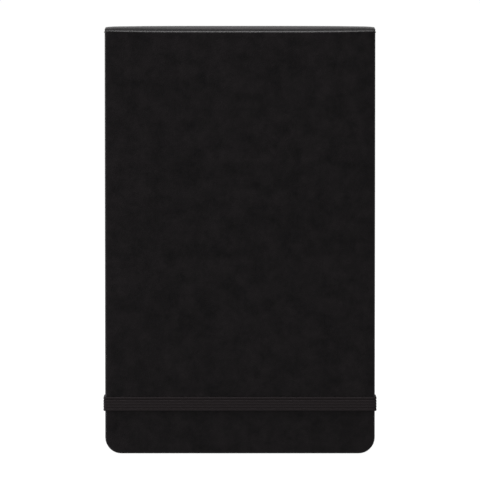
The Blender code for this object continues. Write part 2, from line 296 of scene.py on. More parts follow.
def grid_faces(rows, columns, closed=False):
    """Quads between neighbouring rows of a grid of points."""
    faces = []
    last = columns if closed else columns - 1
    for row in range(rows - 1):
        for column in range(last):
            following = (column + 1) % columns
            low, high = row * columns, (row + 1) * columns
            faces.append((low + column, low + following, high + following, high + column))
    return faces


def apply_modifiers(piece):
    """Replace the piece's mesh by its evaluated mesh."""
    bpy.context.view_layer.update()
    evaluated = piece.evaluated_get(bpy.context.evaluated_depsgraph_get())
    mesh = bpy.data.meshes.new_from_object(evaluated)
    piece.modifiers.clear()
    piece.data = mesh


def smooth(piece, angle=SMOOTH_ANGLE):
    """Smooth shading that keeps edges sharper than the angle."""
    piece.data.shade_smooth()
    piece.data.set_sharp_from_angle(angle=angle)


def thicken(piece, thickness, offset=-1.0, even=True):
    """Closed sheet from an open surface; even thickness suits surfaces without tight folds."""
    modifier = piece.modifiers.new("thickness", "SOLIDIFY")
    modifier.thickness = thickness
    modifier.offset = offset
    modifier.use_even_offset = even
    modifier.use_quality_normals = True
    apply_modifiers(piece)
    smooth(piece)


def mark_wear_highlight_and_shade(piece, on_spine=False):
    """Store how worn the cloth is, most on rounded edges, where a painted highlight goes, and how deep in
    a groove it lies, which sets painted shade.
    """
    mesh = piece.data
    wear_and_highlight = mesh.attributes.new("wear_and_highlight", "FLOAT", "CORNER")
    groove_shade = mesh.attributes.new("groove_shade", "FLOAT", "CORNER")
    for loop, normal in zip(mesh.loops, mesh.corner_normals):
        place = mesh.vertices[loop.vertex_index].co
        # Worn look and painted highlight: the rounder the edge, the lighter its colour and the more shine.
        squareness = max(abs(axis) for axis in normal.vector)
        rubbed_and_lit = (1 - squareness) / (1 - DIAGONAL)
        # Painted shade: depth says how much dark colour and how little shine a groove gets.
        depth = 0.0
        if on_spine and abs(place.y) < GROOVE_PLACE:
            rubbed_and_lit = PANEL_WEAR_AND_HIGHLIGHT * fullness(place.x)
            depth = in_groove(place.y, GROOVE_SHADE_WIDTH) * lerp(END_GROOVE_SHADE, 1, fullness(place.x))
        elif on_spine:
            outward = math.copysign(1, place.y) * normal.vector.y
            rubbed_and_lit *= max(outward, 0) ** 2
            depth = in_groove(place.y, RIDGE_GROOVE_SHADE_WIDTH)
        wear_and_highlight.data[loop.index].value = rubbed_and_lit * (1 - depth)
        groove_shade.data[loop.index].value = depth


def sweep(name, path, section, bends, drops):
    """Closed bar: a section of (height, out) points carried along a path.

    path holds (x, y) points, bends the outward (x, y) direction and drops the lowering at each of them.
    """
    vertices = []
    for (x, y), (out_x, out_y), drop in zip(path, bends, drops):
        for height, out in section:
            vertices.append((x + out_x * out, y + out_y * out, height - drop))
    columns = len(section)
    faces = grid_faces(len(path), columns, closed=True)
    faces.append(tuple(range(columns)))
    faces.append(tuple(range((len(path) - 1) * columns, len(path) * columns)))
    piece = mesh_object(name, vertices, faces)
    smooth(piece)
    return piece


# ---------------------------------------------------------------- materials


def new_material(name):
    """Empty node material with its Principled shader."""
    material = bpy.data.materials.new(name)
    material.use_nodes = True
    nodes = material.node_tree.nodes
    return material, nodes, material.node_tree.links, nodes["Principled BSDF"]


def object_coordinates(nodes, links, scale=(1, 1, 1)):
    """Texture coordinates in metres, stretched by scale."""
    source = nodes.new("ShaderNodeTexCoord")
    mapping = nodes.new("ShaderNodeMapping")
    mapping.inputs["Scale"].default_value = scale
    links.new(source.outputs["Object"], mapping.inputs["Vector"])
    return mapping.outputs["Vector"]


def noise(nodes, links, vector, scale, detail=4.0, roughness=0.5):
    """Noise texture; returns its factor."""
    texture = nodes.new("ShaderNodeTexNoise")
    texture.inputs["Scale"].default_value = scale
    texture.inputs["Detail"].default_value = detail
    texture.inputs["Roughness"].default_value = roughness
    links.new(vector, texture.inputs["Vector"])
    return texture.outputs["Fac"]


def ramp(nodes, links, factor, low, high, colours):
    """Colour ramp between two colours over the factor's span low to high."""
    element = nodes.new("ShaderNodeValToRGB")
    element.color_ramp.elements[0].position = low
    element.color_ramp.elements[1].position = high
    element.color_ramp.elements[0].color = (*colours[0], 1)
    element.color_ramp.elements[1].color = (*colours[1], 1)
    links.new(factor, element.inputs["Fac"])
    return element.outputs["Color"]


def remap(nodes, links, factor, low, high):
    """Factor 0..1 stretched to low..high."""
    element = nodes.new("ShaderNodeMapRange")
    element.inputs["To Min"].default_value = low
    element.inputs["To Max"].default_value = high
    links.new(factor, element.inputs["Value"])
    return element.outputs["Result"]


def bump(nodes, links, height, distance, strength=1.0, before=None):
    """Bump from a height, on top of an earlier normal."""
    element = nodes.new("ShaderNodeBump")
    element.inputs["Distance"].default_value = distance
    element.inputs["Strength"].default_value = strength
    links.new(height, element.inputs["Height"])
    if before is not None:
        links.new(before, element.inputs["Normal"])
    return element.outputs["Normal"]


def attribute(nodes, name):
    """Value stored in the mesh under a name."""
    source = nodes.new("ShaderNodeAttribute")
    source.attribute_name = name
    return source.outputs["Fac"]


def mixed(nodes, links, factor, tone, other):
    """Tone that turns into another colour by a factor."""
    mix = nodes.new("ShaderNodeMix")
    mix.data_type = "RGBA"
    links.new(factor, mix.inputs["Factor"])
    links.new(tone, mix.inputs["A"])
    mix.inputs["B"].default_value = (*other, 1)
    return mix.outputs["Result"]


def leatherette():
    """Near-black imitation leather with a fine pebble grain and a faint satin, lighter and shinier on worn
    rounded edges with a painted highlight, and darker in the spine's grooves with painted shade.
    """
    material, nodes, links, shader = new_material("leatherette")
    vector = object_coordinates(nodes, links)
    pebbles = nodes.new("ShaderNodeTexVoronoi")
    pebbles.feature = "SMOOTH_F1"
    pebbles.inputs["Scale"].default_value = PEBBLE_SCALE
    pebbles.inputs["Smoothness"].default_value = PEBBLE_SMOOTHNESS
    pebbles.inputs["Randomness"].default_value = 1.0
    links.new(vector, pebbles.inputs["Vector"])
    fine = noise(nodes, links, vector, GRAIN_SCALE, detail=3.0)
    broad = noise(nodes, links, vector, LEATHER_MOTTLE_SCALE, detail=5.0, roughness=0.7)
    grain = bump(nodes, links, pebbles.outputs["Distance"], PEBBLE_DEPTH, strength=0.9)
    grain = bump(nodes, links, fine, GRAIN_DEPTH, strength=0.35, before=grain)
    links.new(grain, shader.inputs["Normal"])
    tone = ramp(nodes, links, broad, low=0.3, high=0.7, colours=(LEATHER_DARK, LEATHER_LIGHT))
    # Worn edges with a painted highlight: rounded edges and the spine's top turn lighter and shinier.
    edges = attribute(nodes, "wear_and_highlight")
    groove_shade_mask = attribute(nodes, "groove_shade")
    tone = mixed(nodes, links, edges, tone, LEATHER_RUBBED_HIGHLIGHT)
    # Painted shade: the spine's grooves turn near-black and lose most of their shine.
    tone = mixed(nodes, links, groove_shade_mask, tone, LEATHER_GROOVE_SHADE)
    links.new(tone, shader.inputs["Base Color"])
    links.new(remap(nodes, links, fine, low=0.40, high=0.54), shader.inputs["Roughness"])
    shine = nodes.new("ShaderNodeMath")
    shine.operation = "MULTIPLY"
    links.new(remap(nodes, links, edges, low=0.08, high=0.34), shine.inputs[0])
    links.new(remap(nodes, links, groove_shade_mask, low=1.0, high=0.1), shine.inputs[1])
    links.new(shine.outputs["Value"], shader.inputs["Specular IOR Level"])
    shader.inputs["Sheen Weight"].default_value = CLOTH_SHEEN
    return material


def woven_elastic():
    """Black knitted elastic: stitches across the ribs over a slightly warm black."""
    material, nodes, links, shader = new_material("woven_elastic")
    vector = object_coordinates(nodes, links)
    stitches = nodes.new("ShaderNodeTexWave")
    stitches.wave_type = "BANDS"
    stitches.bands_direction = "DIAGONAL"
    stitches.inputs["Scale"].default_value = STITCH_SCALE
    stitches.inputs["Distortion"].default_value = STITCH_DISTORTION
    stitches.inputs["Detail"].default_value = STITCH_DETAIL
    links.new(vector, stitches.inputs["Vector"])
    fibres = noise(nodes, links, vector, FIBRE_SCALE)
    normal = bump(nodes, links, stitches.outputs["Fac"], STITCH_DEPTH, strength=0.6)
    normal = bump(nodes, links, fibres, FIBRE_DEPTH, strength=0.6, before=normal)
    links.new(normal, shader.inputs["Normal"])
    tone = ramp(nodes, links, fibres, low=0.25, high=0.75, colours=(ELASTIC_DARK, ELASTIC_LIGHT))
    links.new(tone, shader.inputs["Base Color"])
    shader.inputs["Roughness"].default_value = ELASTIC_ROUGHNESS
    shader.inputs["Specular IOR Level"].default_value = ELASTIC_SHINE
    shader.inputs["Sheen Weight"].default_value = CLOTH_SHEEN
    return material


def paper(name, light, dark, ruled=False):
    """Uncoated ivory paper with fibres and a soft mottle."""
    material, nodes, links, shader = new_material(name)
    vector = object_coordinates(nodes, links)
    mottle = noise(nodes, links, vector, PAPER_MOTTLE_SCALE, detail=6.0, roughness=0.6)
    stretched = object_coordinates(nodes, links, PAPER_FIBRE_STRETCH)
    fibres = noise(nodes, links, stretched, PAPER_FIBRE_SCALE)
    tone = ramp(nodes, links, mottle, low=0.3, high=0.7, colours=(dark, light))
    if ruled:
        tone = ruled_lines(nodes, links, tone)
    links.new(tone, shader.inputs["Base Color"])
    grain = bump(nodes, links, fibres, PAPER_GRAIN_DEPTH, strength=0.5)
    links.new(grain, shader.inputs["Normal"])
    shader.inputs["Roughness"].default_value = PAPER_ROUGHNESS
    shader.inputs["Specular IOR Level"].default_value = PAPER_SHINE
    return material


def on_leaf_face(nodes, links, normal):
    """Strength of the ruling: some on the leaves' faces, none on their cut edges."""
    split = nodes.new("ShaderNodeSeparateXYZ")
    links.new(normal, split.inputs["Vector"])
    size = nodes.new("ShaderNodeMath")
    size.operation = "ABSOLUTE"
    links.new(split.outputs["Y"], size.inputs[0])
    facing = nodes.new("ShaderNodeMath")
    facing.operation = "GREATER_THAN"
    facing.inputs[1].default_value = LEAF_FACING
    links.new(size.outputs["Value"], facing.inputs[0])
    return remap(nodes, links, facing.outputs["Value"], low=0.0, high=RULING_STRENGTH)


def ruled_lines(nodes, links, tone):
    """Faint grey writing lines across the leaf at an even pitch."""
    source = nodes.new("ShaderNodeTexCoord")
    split = nodes.new("ShaderNodeSeparateXYZ")
    links.new(source.outputs["Object"], split.inputs["Vector"])
    count = nodes.new("ShaderNodeMath")
    count.operation = "DIVIDE"
    count.inputs[1].default_value = RULING_PITCH
    links.new(split.outputs["Z"], count.inputs[0])
    phase = nodes.new("ShaderNodeMath")
    phase.operation = "FRACT"
    links.new(count.outputs["Value"], phase.inputs[0])
    line = nodes.new("ShaderNodeMath")
    line.operation = "LESS_THAN"
    line.inputs[1].default_value = RULING_SHARE
    links.new(phase.outputs["Value"], line.inputs[0])
    faint = nodes.new("ShaderNodeMath")
    faint.operation = "MULTIPLY"
    links.new(line.outputs["Value"], faint.inputs[0])
    links.new(on_leaf_face(nodes, links, source.outputs["Normal"]), faint.inputs[1])
    return mixed(nodes, links, faint.outputs["Value"], tone, RULING_TONE)


def greyboard():
    """Pulp board with dark and light flecks."""
    material, nodes, links, shader = new_material("greyboard")
    vector = object_coordinates(nodes, links)
    flecks = noise(nodes, links, vector, FLECK_SCALE, detail=8.0, roughness=0.75)
    tone = ramp(nodes, links, flecks, low=0.35, high=0.68, colours=(BOARD_DARK, BOARD_LIGHT))
    links.new(tone, shader.inputs["Base Color"])
    links.new(bump(nodes, links, flecks, FLECK_DEPTH, strength=0.6), shader.inputs["Normal"])
    shader.inputs["Roughness"].default_value = BOARD_ROUGHNESS
    return material


def woven_cloth(name, light, dark, threads_per_metre):
    """Plain weave from two crossed sets of bands."""
    material, nodes, links, shader = new_material(name)
    vector = object_coordinates(nodes, links)
    heights = []
    for direction in ("X", "Z"):
        wave = nodes.new("ShaderNodeTexWave")
        wave.bands_direction = direction
        wave.inputs["Scale"].default_value = threads_per_metre
        wave.inputs["Distortion"].default_value = WEAVE_DISTORTION
        links.new(vector, wave.inputs["Vector"])
        heights.append(wave.outputs["Fac"])
    weave = nodes.new("ShaderNodeMath")
    weave.operation = "MAXIMUM"
    links.new(heights[0], weave.inputs[0])
    links.new(heights[1], weave.inputs[1])
    tone = ramp(nodes, links, weave.outputs["Value"], low=0.2, high=0.9, colours=(dark, light))
    links.new(tone, shader.inputs["Base Color"])
    links.new(bump(nodes, links, weave.outputs["Value"], WEAVE_DEPTH), shader.inputs["Normal"])
    shader.inputs["Roughness"].default_value = WEAVE_ROUGHNESS
    return material


def waxed_thread():
    """White twisted thread."""
    material, nodes, links, shader = new_material("waxed_thread")
    vector = object_coordinates(nodes, links)
    twist = nodes.new("ShaderNodeTexWave")
    twist.bands_direction = "DIAGONAL"
    twist.inputs["Scale"].default_value = TWIST_SCALE
    links.new(vector, twist.inputs["Vector"])
    tone = ramp(nodes, links, twist.outputs["Fac"], low=0.1, high=0.9, colours=(THREAD_DARK, THREAD_LIGHT))
    links.new(tone, shader.inputs["Base Color"])
    links.new(bump(nodes, links, twist.outputs["Fac"], TWIST_DEPTH), shader.inputs["Normal"])
    shader.inputs["Roughness"].default_value = THREAD_ROUGHNESS
    return material


def camera_switch(nodes, links, lighting, seen):
    """Strength that lights the scene with one value and shows the camera another."""
    path = nodes.new("ShaderNodeLightPath")
    return remap(nodes, links, path.outputs["Is Camera Ray"], lighting, seen)


def studio_floor():
    """Pale floor that glows a little, so that shadows on it stay soft."""
    material, nodes, links, shader = new_material("studio_floor")
    vector = object_coordinates(nodes, links)
    mottle = noise(nodes, links, vector, FLOOR_MOTTLE_SCALE)
    tone = ramp(nodes, links, mottle, low=0.3, high=0.7, colours=(FLOOR_TONE, FLOOR_TONE_LIGHT))
    links.new(tone, shader.inputs["Base Color"])
    shader.inputs["Roughness"].default_value = 1.0
    shader.inputs["Specular IOR Level"].default_value = 0.0
    shader.inputs["Emission Color"].default_value = (1, 1, 1, 1)
    links.new(camera_switch(nodes, links, FLOOR_LIGHT, FLOOR_SEEN), shader.inputs["Emission Strength"])
    return material


def dress(piece, material):
    """Give a piece its one material."""
    piece.data.materials.clear()
    piece.data.materials.append(material)


def dress_node(name, material):
    """Give a kept CAD node its material."""
    node = frame["nodes"][name]
    for index in range(max(1, len(node.material_slots))):
        if index < len(node.material_slots):
            node.material_slots[index].material = material
        else:
            node.data.materials.append(material)


# ---------------------------------------------------------------- cover cloth


def edge_profile():
    """(inset, depth) of the cloth from the flat face round the cover's outer edge."""
    profile = [(CORNER, 0), *EDGE_SLOPE]
    radius = OUTER_ROUND
    for angle in spread(EDGE_START_ANGLE, math.pi / 2, EDGE_STEPS):
        inset = radius - radius * math.sin(angle)
        profile.append((inset, EDGE_FALL + radius - radius * math.cos(angle)))
    return profile


def wrap_profile():
    """(inset, depth) from the outer edge over the wall to the end of the turned-in cloth."""
    radius = INNER_ROUND
    profile = [(0, WALL_START), (0, TRAY_DEPTH - radius)]
    for angle in spread(INNER_START_ANGLE, math.pi / 2, INNER_STEPS):
        depth = TRAY_DEPTH - radius + radius * math.sin(angle)
        profile.append((radius - radius * math.cos(angle), depth))
    profile += [(inset, TRAY_DEPTH) for inset in TURN_IN_RINGS]
    return profile


def outline_stations(levels, columns):
    """Points of the core rectangle, with the way outwards, from top left round to top right."""
    core = HALF_WIDTH - CORNER
    stations = [((-core, level), (-1, 0)) for level in levels]
    for angle in spread(math.pi, 1.5 * math.pi, ARC_STEPS):
        stations.append(((-core, CORNER), (math.cos(angle), math.sin(angle))))
    stations += [((across, CORNER), (0, -1)) for across in columns]
    for angle in spread(1.5 * math.pi, 2 * math.pi, ARC_STEPS):
        stations.append(((core, CORNER), (math.cos(angle), math.sin(angle))))
    stations += [((core, level), (1, 0)) for level in reversed(levels)]
    return stations


def ring_point(station, inset, depth, side):
    """Place of a station on the cover's outline, moved in by inset and down by depth."""
    (across, level), (out_x, out_z) = station
    reach = CORNER - inset
    limit = HALF_WIDTH - inset
    x = min(max(across + out_x * reach, -limit), limit)
    z = min(max(level + out_z * reach, inset), ceiling(x, inset, depth))
    return (x, side * (HALF_DEPTH - depth), z)


def ceiling(x, inset, depth):
    """Height under the spine's cloth, which the cover's walls and turned-in cloth stay below."""
    ridge = round_drop(spine_radius(x), depth)
    surface = edge_top(x) + spine_relief(x, HALF_DEPTH - depth) - ridge
    return surface - EDGE_FALL - round_drop(OUTER_ROUND, inset) - CLOTH


def round_drop(radius, inset):
    """How far a rounded edge has fallen at an inset from its outline."""
    return radius - math.sqrt(radius ** 2 - max(radius - inset, 0) ** 2)


def cover_tray(name, side):
    """Cloth over the board: face, rounded edges, walls and turned-in margin."""
    below = spread(JOINT_LINE, CORNER, TRAY_ROWS)
    levels = [TRAY_TOP] + below
    core = HALF_WIDTH - CORNER
    columns = spread(-core, core, TRAY_COLUMNS)
    stations = outline_stations(levels, columns)
    face_rings = edge_profile()
    rings = face_rings + wrap_profile()
    vertices = [ring_point(st, inset, depth, side) for inset, depth in rings for st in stations]
    faces = []
    for face in grid_faces(len(rings), len(stations)):
        on_face = face[2] // len(stations) < len(face_rings)
        highest = max(vertices[index][2] for index in face)
        if not (on_face and highest > JOINT_LINE + TRAY_TOUCH):
            faces.append(face)
    first = len(vertices)
    vertices += [(x, side * HALF_DEPTH, z) for z in below for x in columns]
    flat_faces = grid_faces(len(below), len(columns))
    faces += [tuple(first + index for index in face) for face in flat_faces]
    return mesh_object(name, vertices, faces, outward=Vector((0, side, 0)))


def fullness(x):
    """1 along most of the spine, falling to 0 at its two ends."""
    return 1 - (x / HALF_WIDTH) ** ENDS_POWER


def spine_radius(x):
    """Rounding of the spine's long edges."""
    return lerp(SPINE_END_RADIUS, SPINE_MIDDLE_RADIUS, fullness(x))


def edge_top(x):
    """Height of the ridge along the cover's edge."""
    return TOP - lerp(EDGE_END_SINK, EDGE_MIDDLE_SINK, fullness(x))


def in_groove(y, width=GROOVE_WIDTH):
    """1 at the bottom of the groove along each side of the spine, falling to 0 beside it."""
    return math.exp(-((GROOVE_PLACE - abs(y)) / width) ** 2)


def spine_relief(x, y):
    """Height above the ridges: a crowned panel with a groove along each side."""
    share = min(abs(y) / GROOVE_PLACE, 1)
    flatness = lerp(SPINE_END_FLATNESS, SPINE_MIDDLE_FLATNESS, fullness(x))
    crown = lerp(SPINE_END_CROWN, SPINE_MIDDLE_CROWN, fullness(x)) * (1 - share ** flatness)
    depth = lerp(GROOVE_END_DEPTH, GROOVE_MIDDLE_DEPTH, fullness(x))
    return crown - depth * in_groove(y)


def joint_point(x, depth, step, side):
    """(y, z) of the cloth between the cover's joint line and the seam on top of the spine.

    step runs from 0 to 3: up the cover's face, round the edge, then over the spine.
    """
    corner = max(spine_radius(x), depth)
    reach = corner - depth
    centre = HALF_DEPTH - corner
    rise = edge_top(x) - corner
    if step <= 1:
        return (side * (HALF_DEPTH - depth), lerp(JOINT_LINE, rise, step))
    if step <= 2:
        angle = (step - 1) * math.pi / 2
        y = centre + reach * math.cos(angle)
        return (side * y, rise + reach * math.sin(angle) + (step - 1) * spine_relief(x, y))
    y = lerp(centre, SEAM, step - 2)
    return (side * y, edge_top(x) - depth + spine_relief(x, y))


def spine_columns(wrap=1.0):
    """(x, depth) across the spine, rounded down and turned in at both ends.

    wrap grows from 0, without the turned-in margin, to 1, with all of it.
    """
    core = HALF_WIDTH - CORNER
    edge = edge_profile()
    low = lerp(edge[-1][1], SPINE_WRAP, wrap)
    edge += [(0, low), (SPINE_TURN_IN / 4 * wrap, low), (SPINE_TURN_IN * wrap, low)]
    left = [(inset - HALF_WIDTH, depth) for inset, depth in reversed(edge)]
    middle = [(x, 0.0) for x in spread(-core, core, TRAY_COLUMNS)[1:-1]]
    right = [(HALF_WIDTH - inset, depth) for inset, depth in edge]
    return left + middle + right


def sheet_from(name, rows, outward):
    """Open surface from rows of points, made into cloth."""
    vertices = [point for row in rows for point in row]
    piece = mesh_object(name, vertices, grid_faces(len(rows), len(rows[0])), outward)
    thicken(piece, CLOTH, even=False)
    mark_wear_highlight_and_shade(piece, on_spine=True)
    return piece


def joint_cloth(name, side):
    """Cloth round one long edge of the spine, from the cover's face to the seam."""
    steps = spread(0, 1, FACE_STEPS)
    steps += spread(1, 2, RIDGE_STEPS)[1:]
    steps += spread(2, 3, PANEL_STEPS)[1:]
    rows = []
    for step in steps:
        row = []
        for x, depth in spine_columns(min(max(step - 1, 0), 1)):
            y, z = joint_point(x, depth, step, side)
            row.append((x, y, z))
        rows.append(row)
    return sheet_from(name, rows, Vector((0, side, 1)))


def spine_middle_cloth():
    """Cloth over the middle of the spine, close-set where the block opens."""
    near, far = SPLIT - OPENING_ZONE, SPLIT + OPENING_ZONE
    levels = spread(-SEAM, near, PANEL_SIDE_STEPS)
    levels += spread(near, far, PANEL_STEPS)[1:]
    levels += spread(far, SEAM, PANEL_SIDE_STEPS)[1:]
    rows = []
    for y in levels:
        rows.append([(x, y, edge_top(x) - depth + spine_relief(x, y)) for x, depth in spine_columns()])
    return sheet_from("spine_middle_cloth", rows, Vector((0, 0, 1)))


def cut_slits(tray):
    """Slits in the back cover's cloth for the two ends of the elastic."""
    run_low, run_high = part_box("elastic_front_run")
    height = run_high.z - run_low.z
    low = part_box("elastic_return_right")[0].z
    for hand in (-1, 1):
        box = bpy.data.objects.new("slit_cutter", bpy.data.meshes.new("slit_cutter"))
        work = bmesh.new()
        bmesh.ops.create_cube(work, size=1.0)
        work.to_mesh(box.data)
        work.free()
        box.scale = (SLIT_WIDTH, SLIT_DEPTH, height + SLIT_WIDTH / 2)
        box.location = (hand * SLIT_X, HALF_DEPTH, low + height / 2)
        bpy.context.scene.collection.objects.link(box)
        modifier = tray.modifiers.new("slit", "BOOLEAN")
        modifier.object = box
        modifier.solver = "EXACT"
        apply_modifiers(tray)
        bpy.data.objects.remove(box, do_unlink=True)


def build_cover_cloth(material):
    """Both trays, both joints and the middle of the spine."""
    front = cover_tray("front_cover_leatherette", -1)
    thicken(front, CLOTH)
    mark_wear_highlight_and_shade(front)
    dress(front, material)
    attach(front, "front_cover")
    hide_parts("front_cover_cloth")

    back = cover_tray("back_cover_leatherette", 1)
    thicken(back, CLOTH)
    cut_slits(back)
    smooth(back)
    mark_wear_highlight_and_shade(back)
    dress(back, material)
    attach(back, "back_cover")
    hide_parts("back_cover_cloth")

    front_joint = joint_cloth("front_joint_leatherette", -1)
    dress(front_joint, material)
    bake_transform(front_joint)
    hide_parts("front_spine_cloth")

    back_joint = joint_cloth("back_joint_leatherette", 1)
    dress(back_joint, material)
    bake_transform(back_joint)
    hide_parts("rear_spine_cloth")

    middle = spine_middle_cloth()
    dress(middle, material)
    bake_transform(middle)


# ---------------------------------------------------------------- leaves and endpapers


def leaf_outline(inset, bottom, top):
    """Leaf with square corners at the spine and round corners at the bottom edge."""
    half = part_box("signature_01")[1].x - inset
    points = [(half, top), (-half, top)]
    for centre, start in ((PAGE_CORNER - half, math.pi), (half - PAGE_CORNER, 1.5 * math.pi)):
        for angle in spread(start, start + math.pi / 2, LEAF_ARC_STEPS):
            across = centre + PAGE_CORNER * math.cos(angle)
            points.append((across, bottom + PAGE_CORNER + PAGE_CORNER * math.sin(angle)))
    return points


def folded_signature(number, chance):
    """Four nested folded sheets, each two leaves and their fold, in place of one signature."""
    name = f"signature_{number:02d}"
    low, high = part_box(name)
    middle = (low.y + high.y) / 2
    pitch = (high.y - low.y) / LEAVES
    fold_level = high.z - LEAVES / 2 * pitch
    half = high.x - LEAF_JITTER
    arc = spread(0, math.pi, LEAF_ARC_STEPS)
    vertices, faces = [], []
    for sheet in range(LEAVES // 2):
        radius = (sheet + 0.5) * pitch
        leaves = []
        for hand in (-1, 1):
            outline = leaf_outline(
                chance.uniform(0, LEAF_JITTER), low.z + chance.uniform(0, LEAF_JITTER), fold_level
            )
            leaves.append(len(vertices))
            vertices += [(x, middle + hand * radius, z) for x, z in outline]
            faces.append(tuple(range(leaves[-1], len(vertices))))
        first = len(vertices)
        for angle in arc:
            y, z = middle - radius * math.cos(angle), fold_level + radius * math.sin(angle)
            vertices += [(half, y, z), (-half, y, z)]
        faces += [tuple(first + index for index in face) for face in grid_faces(len(arc), 2)]
        for leaf, fold_edge in zip(leaves, (first, len(vertices) - 2)):
            vertices[leaf] = vertices[fold_edge]
            vertices[leaf + 1] = vertices[fold_edge + 1]
    piece = mesh_object(name + "_leaves", vertices, faces)
    thicken(piece, LEAF, offset=0.0)
    return piece


def build_leaves(material):
    """Twelve signatures of folded leaves."""
    chance = random.Random(SEED)
    for body in ("front_leaves", "rear_leaves"):
        for node in frame["record"]["behaviour"]["bodies"][body]:
            if node.startswith("signature_"):
                piece = folded_signature(int(node[-2:]), chance)
                dress(piece, material)
                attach(piece, body)
                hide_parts(node)


def fold_strip(name, start, end, material, half_width):
    """Paper that bridges two leaves at the spine, arched a little."""
    rows = []
    for share in spread(0, 1, FOLD_STEPS):
        y = lerp(start[0], end[0], share)
        z = lerp(start[1], end[1], share) + PAPER_FOLD / 2 * math.sin(math.pi * share)
        rows.append([(x, y, z) for x in spread(-half_width, half_width, FOLD_COLUMNS)])
    vertices = [point for row in rows for point in row]
    piece = mesh_object(name, vertices, grid_faces(len(rows), len(rows[0])), Vector((0, 0, 1)))
    thicken(piece, PAPER_FOLD)
    dress(piece, material)
    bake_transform(piece)


def build_paper_folds(endpaper, gauze):
    """Endpaper folds at both covers and the lining across the middle of the block."""
    paste_low, paste_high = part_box("front_pastedown")
    sheet_low, sheet_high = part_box("signature_01")
    fold_strip(
        "front_endpaper_fold",
        (sheet_low.y + PAPER_GLUE, sheet_high.z + PAPER_GLUE),
        (paste_low.y + PAPER_GLUE, paste_high.z - PAPER_GLUE),
        endpaper, paste_high.x,
    )
    paste_low, paste_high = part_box("back_pastedown")
    sheet_low, sheet_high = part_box("back_flyleaf")
    fold_strip(
        "back_endpaper_fold",
        (paste_high.y - PAPER_GLUE, paste_high.z - PAPER_GLUE),
        (sheet_low.y + PAPER_GLUE, sheet_high.z + PAPER_GLUE),
        endpaper, paste_high.x,
    )
    page_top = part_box("signature_06")[1].z
    fold_strip(
        "middle_spine_gauze",
        (SPLIT + GAUZE_REACH, page_top + GAUZE_RISE),
        (SPLIT - GAUZE_REACH, page_top + GAUZE_RISE),
        gauze, sheet_high.x,
    )


def build_gussets(material):
    """Folded cloth sides of the pocket, one edge on the panel and one on the back cover."""
    thin = GUSSET_CLOTH
    for hand, way in (("left", -1), ("right", 1)):
        node = f"pocket_gusset_{hand}"
        low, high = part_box(node)
        outer = way * max(abs(low.x), abs(high.x))
        inner = way * min(abs(low.x), abs(high.x))
        centre = (inner + outer) / 2
        front, back = low.y + thin, high.y - thin
        middle = (low.y + high.y) / 2
        path = [
            (inner, front), (centre, front), (outer, front),
            (centre, lerp(low.y, middle, GUSSET_PLEAT)), (inner + way * thin, middle),
            (centre, lerp(high.y, middle, GUSSET_PLEAT)),
            (outer, back), (centre, back), (inner, back),
        ]
        rows = [[(x, y, z) for z in spread(low.z, high.z, GUSSET_ROWS)] for x, y in path]
        vertices = [point for row in rows for point in row]
        piece = mesh_object(node + "_cloth", vertices, grid_faces(len(rows), len(rows[0])))
        thicken(piece, thin, offset=0.0, even=False)
        dress(piece, material)
        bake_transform(piece)
        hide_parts(node)


# ---------------------------------------------------------------- elastic


def elastic_section(thickness, low, high):
    """(z, out) outline of the band: flat inside, ribbed outside with a groove near each edge."""
    width = high - low
    samples = RIBS * RIB_SAMPLES
    outer = []
    for step in range(samples + 1):
        share = step / samples
        rib = 0.5 - 0.5 * math.cos(2 * math.pi * RIBS * share)
        groove = 0.0
        for place, depth in EDGE_GROOVES:
            groove += depth * math.exp(-((share - place) / EDGE_GROOVE_WIDTH) ** 2)
        at_edge = step in (0, samples)
        lift = thickness - RIB_HEIGHT * (1 - rib) - EDGE_GROOVE_DEPTH * groove
        outer.append((low + width * share, lift - (EDGE_ROUND if at_edge else 0)))
    inner = [(high - width * share, 0.0) for share in INNER_SHARES]
    return outer + inner


def bend_points(centre, start_angle, end_angle, radius, steps):
    """Path and outward directions round a corner."""
    path, outs = [], []
    for angle in spread(start_angle, end_angle, steps):
        out = (math.cos(angle), math.sin(angle))
        path.append((centre[0] + radius * out[0], centre[1] + radius * out[1]))
        outs.append(out)
    return path, outs


